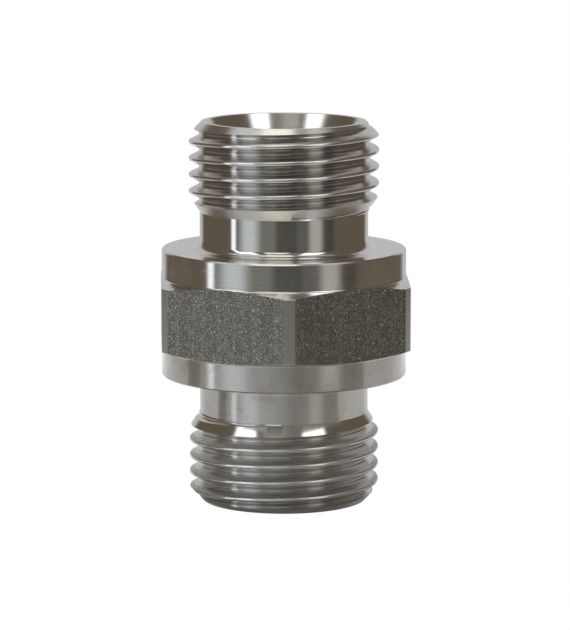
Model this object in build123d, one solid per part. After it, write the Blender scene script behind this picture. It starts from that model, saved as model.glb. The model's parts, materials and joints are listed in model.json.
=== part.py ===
from build123d import *
import math
import os

# Double-ended hexagon pipe nipple, turned and bored from one length of hexagon bar, so it is one solid.
# It stands on its lower end face. The origin is at the centre of that face, +Z runs up the bore, and two
# corners of the hexagon lie on the Y axis. Both studs take a G 1/2 parallel pipe thread, and are modelled
# at its major diameter.

# Lengths along the axis, in millimetres
stud_length = 14.0  # from an end face to the sealing face of its collar
collar_thickness = 3.05  # from the sealing face to the foot of the hexagon's chamfer
hex_height = 7.9  # with both chamfers

# Hexagon and collars
sides = 6
hex_across_flats = 27.0
corner_turned_off = 0.34  # on the radius, off each sharp corner of the bar
hex_chamfer_angle = 15.0  # from the plane of the collar's face
collar_under_flats = 0.05  # on the radius
collar_edge_break = 0.15
hex_foot_relief = 0.15  # narrow cone in the corner between the collar and the hexagon's chamfer

# Thread of Whitworth form
thread_major_diameter = 20.9
threads_per_inch = 14
inch = 25.4
depth_per_pitch = 0.640327

# Ends of the thread
rim_under_root = 0.24  # on the radius, from the thread's root to the end face's edge
end_chamfer_angle = 43.0  # from the axis
undercut_width = 4.1  # from the sealing face to the foot of the runout cone
undercut_under_root = 0.03  # on the radius
runout_angle = 33.0  # from the axis
undercut_fillet = 1.05

# Bore, and the 60 degree seat in each of its mouths
bore_diameter = 12.0
seat_angle = 30.0  # from the axis
rim_width = 0.6  # flat ring between the seat and the end chamfer

crest_radius = thread_major_diameter / 2
root_radius = crest_radius - depth_per_pitch * inch / threads_per_inch
undercut_radius = root_radius - undercut_under_root
rim_radius = root_radius - rim_under_root
seat_radius = rim_radius - rim_width
bore_radius = bore_diameter / 2
flat_radius = hex_across_flats / 2
collar_radius = flat_radius - collar_under_flats
corner_radius = flat_radius / math.cos(math.pi / sides) - corner_turned_off
hex_foot = stud_length + collar_thickness
middle = hex_foot + hex_height / 2


def cone_length(large, small, angle):
    """Length along the axis of a cone between two radii, at angle from the axis."""
    return (large - small) / math.tan(math.radians(angle))


def corner_at(profile, radius, height):
    return profile.vertices().sort_by_distance((radius, 0, height))[0]


def half_profile():
    """Section of the wall, from the lower end face to the middle of the hexagon."""
    seat_end = cone_length(seat_radius, bore_radius, seat_angle)
    thread_start = cone_length(crest_radius, rim_radius, end_chamfer_angle)
    runout_end = stud_length - undercut_width
    runout_start = runout_end - cone_length(crest_radius, undercut_radius, runout_angle)
    hex_shoulder = hex_foot + (corner_radius - collar_radius) * math.tan(math.radians(hex_chamfer_angle))
    outline = [
        (bore_radius, middle),
        (bore_radius, seat_end),
        (seat_radius, 0),
        (rim_radius, 0),
        (crest_radius, thread_start),
        (crest_radius, runout_start),
        (undercut_radius, runout_end),
        (undercut_radius, stud_length),
        (collar_radius, stud_length),
        (collar_radius, hex_foot),
        (corner_radius, hex_shoulder),
        (corner_radius, middle),
    ]
    profile = make_face(Polyline([(radius, 0, height) for radius, height in outline], close=True))
    profile = fillet(corner_at(profile, undercut_radius, stud_length), undercut_fillet)
    profile = chamfer(corner_at(profile, collar_radius, stud_length), collar_edge_break)
    return chamfer(corner_at(profile, collar_radius, hex_foot), hex_foot_relief)


def nipple_body():
    """The turned form, within the flats of the bar that it is cut from."""
    lower = half_profile()
    turned = revolve(lower + mirror(lower, Plane.XY.offset(middle)), Axis.Z)
    section = RegularPolygon(flat_radius, sides, major_radius=False, rotation=180 / sides)
    bar = extrude(section, 2 * middle)
    return turned & bar


body = nipple_body()
os.makedirs("parts", exist_ok=True)
export_step(body, "parts/nipple_body.step")
print("nipple_body valid", body.is_valid, "volume", round(body.volume, 1), "size", body.bounding_box().size)
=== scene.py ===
import json
import math

import bmesh
import bpy
from mathutils import Matrix, Vector


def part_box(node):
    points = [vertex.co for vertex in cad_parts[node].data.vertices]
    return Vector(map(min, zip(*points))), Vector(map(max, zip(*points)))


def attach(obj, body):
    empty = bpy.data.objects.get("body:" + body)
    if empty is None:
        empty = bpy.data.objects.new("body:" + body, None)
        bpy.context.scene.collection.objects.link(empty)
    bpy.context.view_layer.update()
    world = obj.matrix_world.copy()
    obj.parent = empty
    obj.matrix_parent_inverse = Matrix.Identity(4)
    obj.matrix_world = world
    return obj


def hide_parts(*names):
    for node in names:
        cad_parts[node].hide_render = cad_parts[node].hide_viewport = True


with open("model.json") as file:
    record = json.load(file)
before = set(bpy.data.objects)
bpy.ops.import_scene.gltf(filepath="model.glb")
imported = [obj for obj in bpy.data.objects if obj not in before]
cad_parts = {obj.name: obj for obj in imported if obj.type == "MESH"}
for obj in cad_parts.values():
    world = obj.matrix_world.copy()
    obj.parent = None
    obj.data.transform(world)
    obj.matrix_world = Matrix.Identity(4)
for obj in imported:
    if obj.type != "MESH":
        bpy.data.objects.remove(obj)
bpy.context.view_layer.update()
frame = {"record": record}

# Everything is modelled in millimetres and brought to metres when the mesh is finished.
MM = 0.001
mounts = {mount["name"]: mount for mount in frame["record"]["mounts"]}
low, high = (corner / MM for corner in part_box("nipple_body"))

# Sizes read from the frame
length = high.z - low.z
middle = length / 2
flat_radius = (high.x - low.x) / 2
corner_radius = (high.y - low.y) / 2
crest_radius = mounts["lower_thread"]["dims"]["r_mm"]
bore_radius = mounts["through_bore"]["dims"]["r_mm"]
seat_end = (length - mounts["through_bore"]["dims"]["length_mm"]) / 2
stud_length = mounts["lower_collar_face"]["pos_m"][2] / MM

# Thread of Whitworth form
inch = 25.4
threads_per_inch = 14
pitch = inch / threads_per_inch
thread_depth = 0.640327 * pitch
round_radius = 0.137329 * pitch  # of the crests and the roots
flank_angle = math.radians(27.5)
crest_at_x_axis = 0.41  # height of the lower stud's crest over its end face, on the +X axis
root_radius = crest_radius - thread_depth

# Turned sections, as on the part. The angles are from the axis, but the chamfer's is from the collar's face.
rim_under_root = 0.24
rim_width = 0.6
end_chamfer_angle = math.radians(43)
undercut_under_root = 0.03
undercut_width = 4.1
undercut_fillet = 1.05
runout_angle = math.radians(33)
collar_thickness = 3.05
collar_under_flats = 0.05
collar_edge = 0.15  # broken edge of the sealing faces
hex_chamfer_angle = math.radians(15)

rim_radius = root_radius - rim_under_root
seat_radius = rim_radius - rim_width
undercut_radius = root_radius - undercut_under_root
collar_radius = flat_radius - collar_under_flats
hex_foot = stud_length + collar_thickness
hex_shoulder = hex_foot + (corner_radius - collar_radius) * math.tan(hex_chamfer_angle)

# Radii of the small roundings
seat_edge = 0.06
bore_edge = 0.5
hex_foot_corner = 0.25
hex_shoulder_edge = 0.1

columns = 240  # round one turn
spare_turns = 2  # of the unrolled thread, under the end face
slab_floor = bore_radius + 1  # of the unrolled thread, well under its roots
on_plane = 1e-5  # a point nearer than this to a cut lies on it
on_wall = 1e-4  # the same for the flats, and for the walls that the thread sheds
weld_distance = 1e-3  # between the threads and the turned body
crease_angle = math.radians(25)  # a sharper edge than this is shaded as a crease

# Camera, fitted to the outline in the photograph: angles in degrees
camera_turn = 2.2
camera_height = 8.96
camera_distance = 392.6
camera_target = Vector((0.12, 0, 20.47))
camera_lens = 203.26

# The mesh's materials, in their order on it
FINISHES = ("bright_turned", "satin_turned", "bored_seat", "rim", "torn_runout", "upper_thread",
            "lower_thread", "blasted_flat", "turned_corner")


def finish(name):
    """The material's place on the mesh."""
    return FINISHES.index(name)


# Turned body

def wire(bm, points):
    """A chain of edges through (radius, height) points, in the XZ plane."""
    verts = [bm.verts.new((radius, 0, height)) for radius, height in points]
    for first, second in zip(verts, verts[1:]):
        bm.edges.new((first, second))
    return verts


def break_corner(bm, vert, width, segments=1):
    """Cuts that width off both sides of a chain's corner, straight or in an arc."""
    bmesh.ops.bevel(bm, geom=[vert], offset=width, offset_type="OFFSET", segments=segments, profile=0.5,
                    affect="VERTICES", material=-1)


def round_corner(bm, vert, radius, segments=3):
    """Rounds one corner of a chain to that radius."""
    first, second = ((edge.other_vert(vert).co - vert.co).normalized() for edge in vert.link_edges)
    half_turn = (math.pi - first.angle(second)) / 2
    break_corner(bm, vert, radius * math.tan(half_turn), segments)


def turn(bm, geom):
    bmesh.ops.spin(bm, geom=geom, cent=(0, 0, 0), axis=(0, 0, 1), angle=math.tau, steps=columns,
                   use_merge=True, use_duplicate=False)


def inner_section(bm):
    """End face ring, seat and bore, from the lower rim to the upper one."""
    points = [(rim_radius, 0), (seat_radius, 0), (bore_radius, seat_end)]
    points += [(radius, length - height) for radius, height in reversed(points)]
    verts = wire(bm, points)
    for vert in (verts[1], verts[4]):
        round_corner(bm, vert, seat_edge)
    for vert in (verts[2], verts[3]):
        round_corner(bm, vert, bore_edge, 4)


def outer_section(bm):
    """Undercuts, collars and the hexagon's turned envelope, between the two runout cones."""
    points = [
        (undercut_radius, stud_length - undercut_width),
        (undercut_radius, stud_length),
        (collar_radius, stud_length),
        (collar_radius, hex_foot),
        (corner_radius, hex_shoulder),
    ]
    points += [(radius, length - height) for radius, height in reversed(points)]
    verts = wire(bm, points)
    roundings = (((1, 8), undercut_fillet, 10), ((3, 6), hex_foot_corner, 3), ((4, 5), hex_shoulder_edge, 3))
    for places, radius, segments in roundings:
        for place in places:
            round_corner(bm, verts[place], radius, segments)
    for place in (2, 7):
        break_corner(bm, verts[place], collar_edge)


def turned_body():
    bm = bmesh.new()
    inner_section(bm)
    outer_section(bm)
    turn(bm, bm.verts[:] + bm.edges[:])
    return bm


def cut(bm, point, normal, clear=True, slack=on_plane):
    """Cuts the mesh along a plane, and clears what lies beyond it. Returns the edges of the cut."""
    result = bmesh.ops.bisect_plane(bm, geom=bm.verts[:] + bm.edges[:] + bm.faces[:], dist=slack,
                                    plane_co=point, plane_no=normal, clear_outer=clear)
    return [item for item in result["geom_cut"] if isinstance(item, bmesh.types.BMEdge)]


def mill_flats(bm):
    """Cuts the six flats off the turned envelope."""
    for side in range(6):
        normal = Vector((math.cos(side * math.pi / 3), math.sin(side * math.pi / 3), 0))
        edges = cut(bm, normal * flat_radius, normal, slack=on_wall)
        for face in bmesh.ops.edgeloop_fill(bm, edges=edges)["faces"]:
            face.material_index = finish("blasted_flat")


# Threads

def thread_chain():
    """Half a section of the thread: from a crest's top to the root's middle, as (radius, height)."""
    steps = 3
    points = []
    for step in range(steps + 1):
        slope = (math.pi / 2 - flank_angle) * step / steps
        points.append((crest_radius - round_radius * (1 - math.cos(slope)), round_radius * math.sin(slope)))
    root = [(crest_radius + root_radius - radius, pitch / 2 - height) for radius, height in reversed(points)]
    start, end = Vector(points[-1]), Vector(root[0])
    points += [tuple(start.lerp(end, share)) for share in (0.08, 0.5, 0.92)]
    return points + root


def unrolled_slab(bm):
    """The thread rolled out flat: X runs round the stud, Y is the radius and Z the height."""
    half = thread_chain()
    turn_of_thread = half[:-1] + [(radius, pitch - height) for radius, height in reversed(half[1:])]
    turns = math.ceil(stud_length / pitch) + spare_turns
    section = [(0, radius, crest_at_x_axis + height + (number - spare_turns) * pitch)
               for number in range(turns) for radius, height in turn_of_thread]
    section += [(0, slab_floor, section[-1][2]), (0, slab_floor, section[0][2])]
    face = bm.faces.new([bm.verts.new(point) for point in section])
    moved = bmesh.ops.extrude_face_region(bm, geom=[face])["geom"]
    verts = [item for item in moved if isinstance(item, bmesh.types.BMVert)]
    bmesh.ops.translate(bm, verts=verts, vec=(math.tau * crest_radius, 0, pitch))


def trim(bm, point, normal, name="rim"):
    """Cuts away what lies beyond a plane, and closes the cut with that finish."""
    for face in bmesh.ops.holes_fill(bm, edges=cut(bm, point, normal), sides=0)["faces"]:
        face.material_index = finish(name)


def thread_mesh(name, runout):
    """One stud's thread between its end chamfer and its runout cone, rolled up, for the lower end."""
    bm = bmesh.new()
    unrolled_slab(bm)
    for face in bm.faces:
        face.material_index = finish(name)
    runout_end = stud_length - undercut_width
    trim(bm, (0, 0, 0), (0, 0, -1))
    trim(bm, (0, rim_radius, 0), (0, math.cos(end_chamfer_angle), -math.sin(end_chamfer_angle)))
    trim(bm, (0, 0, runout_end), (0, 0, 1))
    trim(bm, (0, undercut_radius, runout_end), (0, math.cos(runout_angle), math.sin(runout_angle)), runout)
    width = math.tau * crest_radius
    for column in range(1, columns):
        cut(bm, (width * column / columns, 0, 0), (1, 0, 0), clear=False)
    walls = [face for face in bm.faces if inside_wall(face, width, runout_end)]
    bmesh.ops.delete(bm, geom=walls, context="FACES")
    for vert in bm.verts:
        angle = vert.co.x / crest_radius
        vert.co = (vert.co.y * math.cos(angle), vert.co.y * math.sin(angle), vert.co.z)
    if name == "upper_thread":
        turn_over = Matrix.Rotation(math.pi, 3, "Y")
        bmesh.ops.rotate(bm, cent=(0, 0, middle), matrix=turn_over, verts=bm.verts[:])
    mesh = bpy.data.meshes.new(name)
    bm.to_mesh(mesh)
    bm.free()
    return mesh


def inside_wall(face, width, top):
    """True where the slab closes on itself or meets the turned body, and needs no face."""
    for axis, value in ((0, 0), (0, width), (1, slab_floor), (2, 0), (2, top)):
        if all(abs(vert.co[axis] - value) < on_wall for vert in face.verts):
            return True
    return False


def body_finish(face):
    """The finish of a face of the turned body, by where it lies."""
    centre = face.calc_center_median()
    radius = math.hypot(centre.x, centre.y)
    upright = abs(face.normal.z) < 0.1
    near_an_end = abs(centre.z - middle) > middle - stud_length / 2
    if upright and radius > corner_radius - 0.02:
        return finish("turned_corner")
    if radius < seat_radius - 0.1:
        return finish("bored_seat")
    if near_an_end and radius < rim_radius:
        return finish("rim")
    return finish("bright_turned" if centre.z > middle else "satin_turned")


def nipple_mesh():
    """The whole fitting as one closed mesh, in metres."""
    bm = turned_body()
    mill_flats(bm)
    bm.normal_update()
    for face in bm.faces:
        if face.material_index != finish("blasted_flat"):
            face.material_index = body_finish(face)
    for name, runout in (("lower_thread", "bright_turned"), ("upper_thread", "torn_runout")):
        thread = thread_mesh(name, runout)
        bm.from_mesh(thread)
        bpy.data.meshes.remove(thread)
    bmesh.ops.remove_doubles(bm, verts=bm.verts[:], dist=weld_distance)
    bmesh.ops.recalc_face_normals(bm, faces=bm.faces[:])
    for face in bm.faces:
        face.smooth = True
    for edge in bm.edges:
        edge.smooth = edge.calc_face_angle(0) < crease_angle
    bmesh.ops.scale(bm, vec=(MM, MM, MM), verts=bm.verts[:])
    mesh = bpy.data.meshes.new("pipe_nipple")
    bm.to_mesh(mesh)
    bm.free()
    return mesh


# Shader nodes

class Value:
    """An output socket. Arithmetic on it adds the Math nodes that work it out."""

    def __init__(self, paint, socket):
        self.paint = paint
        self.socket = socket

    def __add__(self, other):
        return self.paint.math("ADD", self, other)

    def __sub__(self, other):
        return self.paint.math("SUBTRACT", self, other)

    def __rsub__(self, other):
        return self.paint.math("SUBTRACT", other, self)

    def __mul__(self, other):
        return self.paint.math("MULTIPLY", self, other)

    def __truediv__(self, other):
        return self.paint.math("DIVIDE", self, other)

    def __rtruediv__(self, other):
        return self.paint.math("DIVIDE", other, self)

    def __pow__(self, other):
        return self.paint.math("POWER", self, other)

    def __neg__(self):
        return self.paint.math("MULTIPLY", self, -1)

    def __abs__(self):
        return self.paint.math("ABSOLUTE", self)

    __radd__ = __add__
    __rmul__ = __mul__


class Paint:
    """Builds the nodes of one material, or of the world."""

    def __init__(self, owner):
        owner.use_nodes = True
        self.tree = owner.node_tree
        self.tree.nodes.clear()

    def node(self, kind, settings=None, inputs=None):
        """A node of that kind, with its settings made first and then its sockets fed."""
        node = self.tree.nodes.new("ShaderNode" + kind)
        for name, value in (settings or {}).items():
            setattr(node, name, value)
        for name, value in (inputs or {}).items():
            socket = node.inputs[name]
            if isinstance(value, Value):
                self.tree.links.new(value.socket, socket)
            else:
                socket.default_value = value
        return node

    def out(self, node, socket=0):
        return Value(self, node.outputs[socket])

    def math(self, operation, *values):
        return self.out(self.node("Math", {"operation": operation}, dict(enumerate(values))))

    def step(self, value, start, end):
        """0 up to start, 1 from end, and smooth between them."""
        inputs = {"Value": value, "From Min": start, "From Max": end}
        return self.out(self.node("MapRange", {"interpolation_type": "SMOOTHSTEP"}, inputs))

    def between(self, value, start, end, soft):
        """1 between two values, fading over soft at each."""
        rise = self.step(value, start - soft / 2, start + soft / 2)
        return rise * (1 - self.step(value, end - soft / 2, end + soft / 2))

    def finish_with(self, shader, target="OutputMaterial"):
        self.tree.links.new(shader.outputs[0], self.node(target).inputs[0])

    def mix(self, mask, first, second):
        """Colour first, going to second where mask is 1."""
        return self.out(self.node("Mix", {"data_type": "RGBA"}, {0: mask, 6: first, 7: second}), 2)


def grey(level, tint=(1, 1, 1)):
    return (level * tint[0], level * tint[1], level * tint[2], 1)


# Tints
WHITE = (1, 1, 1)
COOL = (0.95, 1.0, 1.05)
CREAM = (1.03, 1.0, 0.9)
BROWN = (1.25, 1.0, 0.75)

# What stands round the part in the studio, each laid over the ones before it: azimuth from the camera to the
# right and its soft edge, elevation and its soft edge, all in degrees, then brightness and tint.
STUDIO = (
    ((-66, -11), 6, (-60, 30), 12, 0.18, CREAM),    # grey wall beside the camera
    ((-60, -36), 16, (-60, 28), 12, 0.62, COOL),    # skirt of the left softbox
    ((-76, -69), 3, (-60, 35), 12, 1.3, COOL),      # its bright edge
    ((-9, 18), 6, (-60, 30), 12, 0.078, CREAM),     # camera and tripod
    ((18, 34), 4, (-60, 30), 12, 0.12, CREAM),
    ((35, 53), 10, (-60, 30), 12, 0.44, CREAM),     # window blind
    ((58, 72), 8, (-60, 30), 12, 0.065, CREAM),     # its dark frame
    ((-29, 8), 5, (32, 46), 8, 1.15, CREAM),        # pale wall over the camera
    ((-34, 4), 14, (46, 62), 8, 0.3, CREAM),        # and the ceiling over it
    ((4, 30), 12, (38, 62), 12, 0.2, CREAM),        # beam across it
    ((-200, -110), 20, (56, 100), 10, 0.7, CREAM),  # pale ceiling behind, on the left
    ((110, 200), 20, (56, 100), 10, 0.32, CREAM),   # and on the right
    ((-77, -47), 9, (33, 66), 8, 2.2, WHITE),       # left softbox
    ((32, 66), 9, (39, 68), 8, 2.2, WHITE),         # right softbox
)

# The lamps of the ceiling: how far to the right and to the front, and their soft edges, all over their height
# above the part, then brightness and tint.
CEILING = (
    ((-0.9, 0.6), 0.3, (-0.35, 0.4), 0.1, 0.62, WHITE),      # soft light of the whole ceiling
    ((0.14, 0.34), 0.04, (-0.35, 0.4), 0.1, 0.3, CREAM),     # gap between its lamps
    ((-0.31, 0.12), 0.03, (-0.35, 0.5), 0.06, 1.15, CREAM),  # warm lamp
)

DARK_ROOM = grey(0.104, BROWN)  # what no other row covers
BACKDROP = grey(0.55)  # behind the part, so that steep edges mirror it
BACKDROP_AZIMUTH = (141, 155)  # where it begins and is full, on both sides
BACKDROP_ELEVATION = (-40, 40, 30)  # its lower and upper end, and their soft edge
HORIZON = 0.01  # least height that the ceiling is worked out for


def light_studio():
    """The studio as the metal mirrors it. The camera itself sees a plain white background."""
    world = bpy.data.worlds.new("studio")
    bpy.context.scene.world = world
    paint = Paint(world)
    direction = paint.out(paint.node("TexCoord"), "Generated")
    parts = paint.node("SeparateXYZ", None, {0: direction})
    x, y, z = (paint.out(parts, axis) for axis in range(3))
    azimuth = paint.math("ARCTAN2", x, -y) * math.degrees(1) + camera_turn
    elevation = paint.math("ARCSINE", z) * math.degrees(1)
    color = DARK_ROOM
    for side, side_edge, rise, rise_edge, brightness, tint in STUDIO:
        mask = paint.between(azimuth, *side, side_edge) * paint.between(elevation, *rise, rise_edge)
        color = paint.mix(mask, color, grey(brightness, tint))
    above = paint.math("MAXIMUM", z, HORIZON)
    right, front = x / above, -y / above
    for side, side_edge, depth, depth_edge, brightness, tint in CEILING:
        mask = paint.between(right, *side, side_edge) * paint.between(front, *depth, depth_edge)
        color = paint.mix(mask, color, grey(brightness, tint))
    backdrop = paint.step(abs(azimuth), *BACKDROP_AZIMUTH) * paint.between(elevation, *BACKDROP_ELEVATION)
    color = paint.mix(backdrop, color, BACKDROP)
    seen = paint.out(paint.node("LightPath"), "Is Camera Ray")
    color = paint.mix(seen, color, grey(1))
    paint.finish_with(paint.node("Background", None, {"Color": color}), "OutputWorld")


def sheet(name, radius, height):
    """A round sheet of the stage. Returns it with the paint of its material."""
    mesh = bpy.data.meshes.new(name)
    bm = bmesh.new()
    bmesh.ops.create_circle(bm, cap_ends=True, segments=128, radius=radius * MM)
    bmesh.ops.translate(bm, vec=(0, 0, height * MM), verts=bm.verts[:])
    bm.to_mesh(mesh)
    bm.free()
    disc = bpy.data.objects.new(name, mesh)
    bpy.context.scene.collection.objects.link(disc)
    material = bpy.data.materials.new(name)
    mesh.materials.append(material)
    return disc, Paint(material)


def lay_floor():
    """A pale floor for the camera, and the half clear glowing sheet that the metal mirrors in its place. Its
    glow is painted light, with painted shade and a painted contact shadow.
    """
    floor, paint = sheet("floor", 1500, -0.05)
    floor.visible_glossy = False
    paint.finish_with(paint.node("Emission", None, {"Color": grey(1)}))

    shade, paint = sheet("floor_in_the_metal", 170, -0.03)
    shade.visible_camera = False
    place = paint.node("SeparateXYZ", None, {0: paint.out(paint.node("TexCoord"), "Object")})
    x, y = (paint.out(place, axis) for axis in range(2))
    azimuth = paint.math("ARCTAN2", x, -y) * math.degrees(1) + camera_turn
    distance = (x * x + y * y) ** 0.5 / MM
    # Painted light and shade of the sheet: dimmer in front and more so to the front right, a painted shadow
    # to the left, brighter behind.
    front_right = paint.step(azimuth, -8, 14)
    in_front = paint.between(azimuth, -96, 75, 3)
    left_shadow = paint.between(azimuth, -95, -80, 4)
    behind = paint.step(abs(azimuth), 100, 140) * paint.step(distance, 80, 110)
    # Painted contact shadow: the glow goes dark close to the part.
    clear_of_contact_shadow = paint.step(distance, 9, 24)
    glow = paint.mix(front_right, grey(0.46), grey(0.3, CREAM))
    glow = paint.mix(in_front, grey(0.6), glow)
    glow = paint.mix(left_shadow, glow, grey(0.24, CREAM))
    glow = paint.mix(behind, glow, grey(1.25))
    glow = paint.mix(clear_of_contact_shadow, grey(0.1), glow)
    cover = 0.72 * (1 - paint.step(distance, 75, 165))
    glowing = paint.out(paint.node("Emission", None, {"Color": glow}))
    clear = paint.out(paint.node("BsdfTransparent"))
    paint.finish_with(paint.node("MixShader", None, {0: cover, 1: clear, 2: glowing}))


def lay_camera():
    """The camera at the photograph's angle, as fitted to its outline."""
    camera = bpy.data.objects.new("camera", bpy.data.cameras.new("camera"))
    bpy.context.scene.collection.objects.link(camera)
    bpy.context.scene.camera = camera
    turned, lift = math.radians(camera_turn), math.radians(camera_height)
    flat = math.cos(lift)
    away = Vector((-math.sin(turned) * flat, -math.cos(turned) * flat, math.sin(lift)))
    camera.location = (camera_target + away * camera_distance) * MM
    camera.rotation_mode = "QUATERNION"
    camera.rotation_quaternion = (-away).to_track_quat("-Z", "Y")
    camera.data.lens = camera_lens
    camera.data.clip_start = 10 * MM
    bpy.context.scene.view_settings.view_transform = "Standard"


# Finishes

STEEL = (0.8, 0.79, 0.765, 1)
ticks_per_turn = 260  # of the tool's chatter on the threads' flanks
tick_slant = 12  # radians of that chatter per millimetre of height


class Steel(Paint):
    """One finish of the bare metal. Its patterns are in millimetres."""

    def __init__(self, name):
        self.material = bpy.data.materials.new(name)
        super().__init__(self.material)
        scaled = self.node("VectorMath", {"operation": "SCALE"},
                           {0: self.out(self.node("TexCoord"), "Object"), "Scale": 1 / MM})
        self.place = self.out(scaled)
        parts = self.node("SeparateXYZ", None, {0: self.place})
        self.x, self.y, self.z = (self.out(parts, axis) for axis in range(3))
        self.radius = (self.x * self.x + self.y * self.y) ** 0.5
        self.normal = None

    def vector(self, x, y, z):
        return self.out(self.node("CombineXYZ", None, {0: x, 1: y, 2: z}))

    def noise(self, size, detail=2.0, vector=None):
        """Cloudy noise from 0 to 1, with lumps of about that size."""
        inputs = {"Vector": vector or self.place, "Scale": 1 / size, "Detail": detail}
        return self.out(self.node("TexNoise", None, inputs))

    def stretched(self, width, height, detail):
        """Noise with lumps of that width across the part's axis and that height along it."""
        return self.noise(1, detail, self.vector(self.x / width, self.y / width, self.z / height))

    def turning(self, width, detail=2.0):
        """Lines that run round the part, about that wide, and change slowly on their way."""
        drift = self.x * 0.05 + self.y * 0.04
        return self.noise(1, detail, self.vector(self.z / width, self.radius / width, drift))

    def bump(self, height, depth):
        """Adds relief of that depth in millimetres."""
        inputs = {"Strength": 1.0, "Distance": depth * MM, "Height": height}
        if self.normal:
            inputs["Normal"] = self.normal
        self.normal = self.out(self.node("Bump", None, inputs))

    def shade(self, color, roughness, brushed=0.0):
        """The metal itself. brushed stretches its gloss along the part's axis."""
        inputs = {"Base Color": color, "Metallic": 1.0, "Roughness": roughness, "Anisotropic": brushed,
                  "Anisotropic Rotation": 0.25}
        if self.normal:
            inputs["Normal"] = self.normal
        self.finish_with(self.node("BsdfPrincipled", None, inputs))
        return self.material

    def tone(self, mask, dark, light):
        """Steel's own colour times dark where mask is 0 and light where it is 1."""
        levels = [tuple(part * level for part in STEEL[:3]) + (1,) for level in (dark, light)]
        return self.mix(mask, *levels)


def bright_turned(name):
    """The upper end's undercut and collar, and the lower runout cone, nearly mirrors."""
    steel = Steel(name)
    lines = steel.turning(0.09)
    bands = steel.turning(0.6)
    cloud = steel.noise(2.5, 3)
    steel.bump(lines, 0.0009)
    steel.bump(steel.noise(0.12, 1), 0.0007)
    on_collar = steel.step(steel.radius, collar_radius - 0.85, collar_radius - 0.25)
    scratches = steel.step(steel.stretched(0.9, 0.05, detail=1), 0.6, 0.75)
    steel.bump(scratches * on_collar, 0.0012)
    roughness = 0.08 + 0.06 * bands + 0.05 * steel.step(cloud, 0.5, 0.7) + 0.03 * on_collar
    return steel.shade(steel.tone(lines, 0.86, 1.06), roughness, brushed=0.6)


def satin_turned(name):
    """The lower end's undercut and collar, duller, with faint stains and specks."""
    steel = Steel(name)
    lines = steel.turning(0.11)
    bands = steel.turning(0.7)
    grain = steel.noise(0.16, 2)
    specks = steel.step(steel.noise(0.45, 2), 0.69, 0.73)
    steel.bump(lines, 0.001)
    steel.bump(grain, 0.001)
    stains = 0.3 * steel.step(steel.noise(2.6, 4), 0.5, 0.68)
    streaks = steel.stretched(0.4, 3, detail=3)
    steel.bump(streaks, 0.004)
    roughness = 0.12 + 0.06 * bands + 0.05 * grain
    color = steel.tone(0.4 * lines + 0.3 * grain + 0.3 * streaks - 0.4 * specks, 0.8, 1.14)
    return steel.shade(steel.mix(stains, color, grey(0.4, BROWN)), roughness, brushed=0.6)


def bored_seat(name):
    steel = Steel(name)
    lines = steel.turning(0.13, 3)
    steel.bump(lines, 0.0012)
    grain = steel.noise(0.15, 2)
    steel.bump(grain, 0.0025)
    color = steel.tone(0.5 * lines + 0.5 * grain, 0.84, 1.1)
    return steel.shade(color, 0.16 + 0.08 * steel.turning(0.5), brushed=0.5)


def rim(name):
    """The end faces' rings and the chamfers round them."""
    steel = Steel(name)
    grain = steel.noise(0.22, 3)
    steel.bump(steel.turning(0.1), 0.0015)
    steel.bump(grain, 0.006)
    return steel.shade(steel.tone(grain, 0.85, 1.15), 0.2)


def torn_runout(name):
    """The upper runout cone, which the tool has dragged at."""
    steel = Steel(name)
    grain = steel.noise(0.2, 3)
    drag = steel.stretched(0.35, 0.12, detail=3)
    steel.bump(drag, 0.006)
    steel.bump(grain, 0.005)
    return steel.shade(steel.tone(grain, 0.8, 1.15), 0.3)


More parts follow.
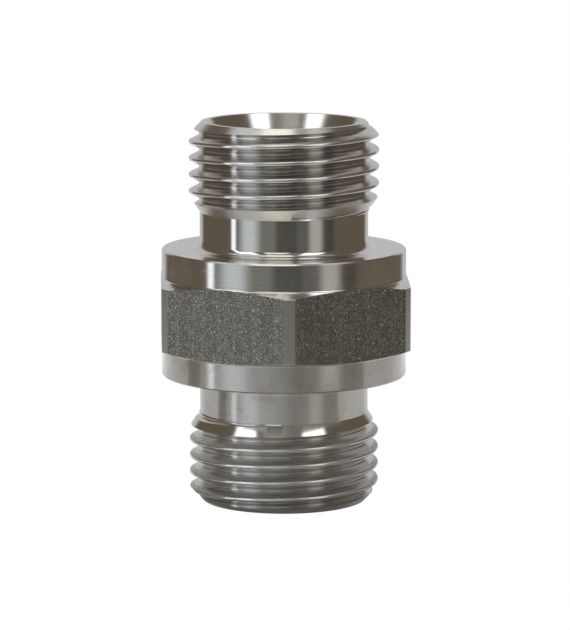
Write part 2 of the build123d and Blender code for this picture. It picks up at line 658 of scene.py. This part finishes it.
def thread_finish(name):
    """Flanks with the tool's chatter, and worn crests whose colour is whitened as a painted highlight."""
    steel = Steel(name)
    upper = name == "upper_thread"
    height = length - steel.z if upper else steel.z
    angle = steel.math("ARCTAN2", steel.y, -steel.x if upper else steel.x)
    turns = (height - crest_at_x_axis) / pitch - angle / math.tau
    past_crest = steel.math("FRACT", turns + 0.5) - 0.5
    from_crest = abs(past_crest)
    above_crest = -past_crest if upper else past_crest
    lines = steel.turning(0.08)
    grain = steel.noise(0.15, 2)
    steel.bump(lines, 0.0008)
    steel.bump(grain, 0.0012 if upper else 0.0018)
    near_crest = steel.between(above_crest, 0.08, 0.24, 0.06)
    ticks = steel.math("SINE", angle * ticks_per_turn + steel.z * tick_slant) * near_crest
    steel.bump(ticks, 0.002 if upper else 0.014)
    nicks = steel.noise(0.5, 2) * (1 - steel.step(from_crest, 0.04, 0.1))
    steel.bump(nicks, 0.02)
    # Crests: rougher from wear, and white in colour as a painted highlight.
    worn_and_highlit = 1 - steel.step(from_crest, 0.03, 0.08)
    color = steel.mix(worn_and_highlit, steel.tone(0.5 * lines + 0.5 * grain, 0.72, 1.0), grey(1))
    roughness = (0.1 if upper else 0.13) + 0.06 * grain + 0.04 * worn_and_highlit
    return steel.shade(color, roughness, brushed=0.4)


def blasted_flat(name):
    """Flats of the drawn bar, pickled and blasted: dark, with fine pale grains, faint drawing lines and white
    specks that are painted glints.
    """
    steel = Steel(name)
    grain = steel.noise(0.135, 1)
    coarse = steel.noise(0.9, 2)
    drawn = steel.stretched(0.5, 12, detail=2)
    # Painted glints: white specks of colour where the blasted grains would catch the light.
    glint_specks = steel.step(steel.noise(0.15, 0), 0.72, 0.78)
    steel.bump(grain, 0.024)
    steel.bump(coarse, 0.02)
    pale = steel.step(grain + 0.2 * (coarse - 0.5) + 0.25 * (drawn - 0.5), 0.42, 0.7)
    color = steel.mix(pale, grey(0.2, CREAM), grey(0.47, CREAM))
    return steel.shade(steel.mix(glint_specks, color, grey(1)), 0.42 + 0.1 * coarse)


def turned_corner(name):
    steel = Steel(name)
    lines = steel.turning(0.12)
    steel.bump(lines, 0.0015)
    steel.bump(steel.noise(0.15, 2), 0.004)
    return steel.shade(steel.tone(lines, 0.74, 0.94), 0.38)


nipple = bpy.data.objects.new("pipe_nipple", nipple_mesh())
bpy.context.scene.collection.objects.link(nipple)
even = nipple.modifiers.new("even_shading", "WEIGHTED_NORMAL")
even.keep_sharp = True
makers = (bright_turned, satin_turned, bored_seat, rim, torn_runout, thread_finish,
          thread_finish, blasted_flat, turned_corner)
for name, make in zip(FINISHES, makers):
    nipple.data.materials.append(make(name))
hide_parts("nipple_body")
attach(nipple, "root")
light_studio()
lay_floor()
lay_camera()
